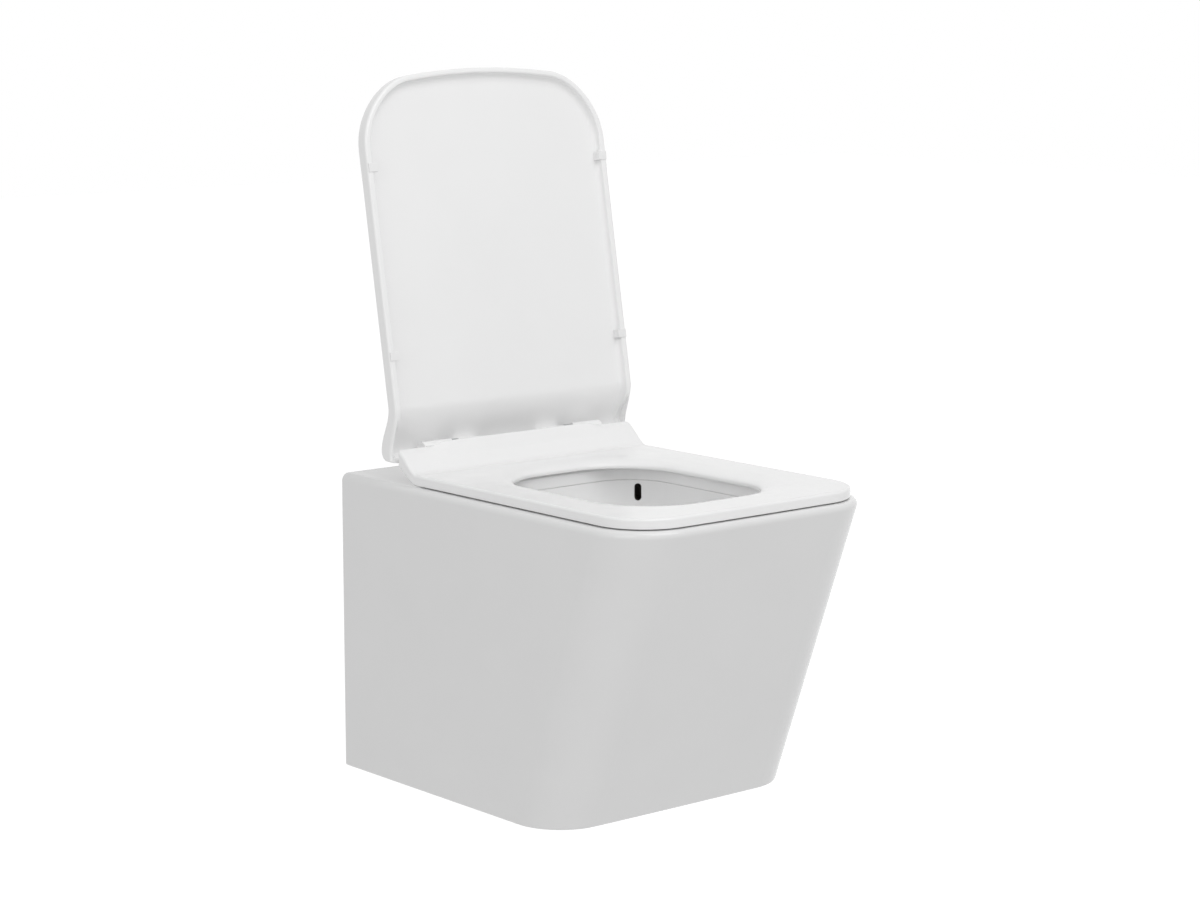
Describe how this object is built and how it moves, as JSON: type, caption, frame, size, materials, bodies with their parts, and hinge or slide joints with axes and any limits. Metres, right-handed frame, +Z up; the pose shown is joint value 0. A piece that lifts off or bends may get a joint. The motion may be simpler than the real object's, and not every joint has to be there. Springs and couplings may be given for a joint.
{
  "type": "wall hung toilet",
  "caption": "Box-shaped wall hung toilet pan with a slim hinged seat and a soft-closing lid, concealed wall fixings, rear flush inlet and waste outlet.",
  "frame": {"origin": "half way between the two wall fixing holes, on the wall plane that the pan's back bears on", "axes": "+Z up, -Y out of the wall towards the front of the pan, +X to the right as seen from the front"},
  "size_m": [0.36, 0.5146, 0.8029],
  "materials": {
    "vitreous_china": "white glaze over fired clay, glossy",
    "moulded_seat": "white moulded thermoset, satin gloss",
    "buffer_rubber": "white soft rubber, matte",
    "hinge_metal": "fine brushed stainless steel",
    "fixing_steel": "zinc plated or stainless steel, turned",
    "bush_rubber": "black rubber, matte",
    "nut_brass": "machined brass",
    "bearing_plastic": "natural moulded acetal, matte",
    "damper_plastic": "dark grey moulded nylon, matte",
    "cap_plastic": "white moulded plastic"
  },
  "bodies": {
    "pan_body": {"pan": "vitreous_china", "hinge_bases": "hinge_metal", "hinge_post_left": "hinge_metal", "hinge_post_right": "hinge_metal", "hinge_grub_screws": "fixing_steel", "hinge_bolts": "fixing_steel", "expansion_bushes": "bush_rubber", "expansion_nuts": "nut_brass", "seat_pivot_pin": "fixing_steel", "lid_pivot_pin": "fixing_steel", "seat_damper_rotor": "damper_plastic", "lid_damper_rotor": "damper_plastic", "fixing_sleeves": "bearing_plastic", "fixing_washers": "fixing_steel", "fixing_nuts": "fixing_steel", "fixing_caps": "cap_plastic"},
    "seat_body": {"seat_ring": "moulded_seat", "seat_buffers": "buffer_rubber", "seat_bearing_bush": "bearing_plastic", "seat_damper_housing": "damper_plastic"},
    "lid_body": {"lid": "moulded_seat", "lid_buffers": "buffer_rubber", "lid_bearing_bush": "bearing_plastic", "lid_damper_housing": "damper_plastic"}
  },
  "joints": [
    {"name": "seat_hinge", "type": "hinge", "parent": "pan_body", "child": "seat_body", "pos_m": [0, -0.0875, 0.1185], "axis": [-1, 0, 0], "range_deg": [0, 98]},
    {"name": "lid_hinge", "type": "hinge", "parent": "seat_body", "child": "lid_body", "pos_m": [0, -0.0875, 0.1185], "axis": [-1, 0, 0], "range_deg": [-100, 0]}
  ]
}
